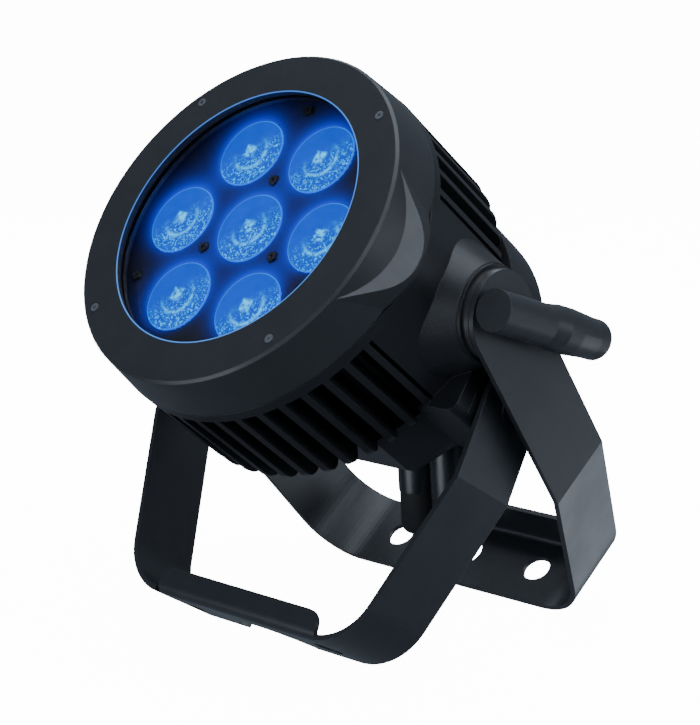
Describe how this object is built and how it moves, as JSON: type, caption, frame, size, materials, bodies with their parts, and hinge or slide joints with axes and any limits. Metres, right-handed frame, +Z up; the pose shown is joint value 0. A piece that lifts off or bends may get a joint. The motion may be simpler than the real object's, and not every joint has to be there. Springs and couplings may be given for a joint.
{
  "type": "par can light",
  "caption": "Stage par can with a finned round head, a cluster of faceted lit lenses behind glass, and two hinged bracket yokes that fold out as a floor stand with lock levers.",
  "frame": {"origin": "middle of the part's box on the floor plane it stands on", "axes": "X along the tilt axis, with +X to the light's own left lever; -Y is the way the light points, before its upward tilt; +Z up"},
  "size_m": [0.311, 0.2772, 0.3229],
  "materials": {
    "ring_paint": "satin black powder coat, slightly rough",
    "cast_paint": "satin black powder coat over a rough casting",
    "bracket_paint": "semi-gloss black powder coat on steel strap",
    "clear_glass": "clear toughened glass",
    "lens_optic": "clear moulded optic, lit blue",
    "black_rubber": "matte seal rubber",
    "black_plastic": "moulded black plastic",
    "lever_plastic": "fine-grained black plastic",
    "bright_screw": "bright plated screw",
    "dark_screw": "blackened steel screw",
    "board_white": "white solder mask on an aluminium-cored board",
    "emitter": "lit LED package",
    "pad_grey": "grey heat-conducting pad",
    "supply_case": "bare sheet case",
    "brass_post": "plain brass hexagon post",
    "board_green": "green circuit board",
    "panel_black": "flat black panel",
    "window_dark": "dark tinted window",
    "button_grey": "dark grey moulded button",
    "data_black": "black moulded connector",
    "steel_wire": "plain steel wire",
    "washer_black": "hard black friction washer"
  },
  "bodies": {
    "rear_bracket": {"rear_yoke": "bracket_paint"},
    "head": {"front_ring": "ring_paint", "front_glass": "clear_glass", "glass_seal": "black_rubber", "glass_retainer": "dark_screw", "ring_screws": "bright_screw", "ring_gasket": "black_rubber", "lens_plate": "black_plastic", "plate_screws": "dark_screw", "plate_posts": "supply_case", "lenses": "lens_optic", "lens_holders": "black_plastic", "led_board": "board_white", "led_emitters": "emitter", "thermal_pad": "pad_grey", "heat_sink": "cast_paint", "rear_gasket": "black_rubber", "rear_housing": "cast_paint", "housing_screws": "dark_screw", "power_supply": "supply_case", "board_standoffs": "brass_post", "control_board": "board_green", "display_board": "board_green", "display_posts": "brass_post", "panel_gasket": "black_rubber", "rear_panel": "panel_black", "panel_screws": "dark_screw", "display_window": "window_dark", "power_inlet": "data_black", "power_outlet": "data_black", "power_inlet_cap": "black_rubber", "power_outlet_cap": "black_rubber", "data_inlet": "data_black", "data_outlet": "data_black", "vent_valve": "black_plastic", "safety_eye": "steel_wire", "right_friction_washer": "washer_black", "left_friction_washer": "washer_black", "right_lever_stud": "steel_wire", "left_lever_stud": "steel_wire", "right_bracket_bolt": "dark_screw", "left_bracket_bolt": "dark_screw", "right_bolt_washers": "dark_screw", "left_bolt_washers": "dark_screw"},
    "front_bracket": {"front_yoke": "bracket_paint"},
    "right_lever": {"right_lock_lever": "lever_plastic"},
    "left_lever": {"left_lock_lever": "lever_plastic"},
    "menu_key": {"menu_button": "button_grey"},
    "down_key": {"down_button": "button_grey"},
    "up_key": {"up_button": "button_grey"},
    "enter_key": {"enter_button": "button_grey"}
  },
  "joints": [
    {"name": "head_tilt", "type": "hinge", "parent": "rear_bracket", "child": "head", "pos_m": [0, -0.01305, 0.19614], "axis": [1, 0, 0], "range_deg": [-30, 20]},
    {"name": "front_bracket_fold", "type": "hinge", "parent": "head", "child": "front_bracket", "pos_m": [0, 0.01244, 0.14065], "axis": [1, 0, 0], "range_deg": [-30, 20]},
    {"name": "right_lever_turn", "type": "hinge", "parent": "head", "child": "right_lever", "pos_m": [0, -0.01305, 0.19614], "axis": [1, 0, 0], "range_deg": [-60, 60]},
    {"name": "left_lever_turn", "type": "hinge", "parent": "head", "child": "left_lever", "pos_m": [0, -0.01305, 0.19614], "axis": [1, 0, 0], "range_deg": [-60, 60]},
    {"name": "menu_press", "type": "slide", "parent": "head", "child": "menu_key", "axis": [0, -0.7934, 0.6088], "range_m": [0, 0.0012], "stiffness_N_per_m": 400, "springref_m": -0.0012},
    {"name": "down_press", "type": "slide", "parent": "head", "child": "down_key", "axis": [0, -0.7934, 0.6088], "range_m": [0, 0.0012], "stiffness_N_per_m": 400, "springref_m": -0.0012},
    {"name": "up_press", "type": "slide", "parent": "head", "child": "up_key", "axis": [0, -0.7934, 0.6088], "range_m": [0, 0.0012], "stiffness_N_per_m": 400, "springref_m": -0.0012},
    {"name": "enter_press", "type": "slide", "parent": "head", "child": "enter_key", "axis": [0, -0.7934, 0.6088], "range_m": [0, 0.0012], "stiffness_N_per_m": 400, "springref_m": -0.0012}
  ]
}
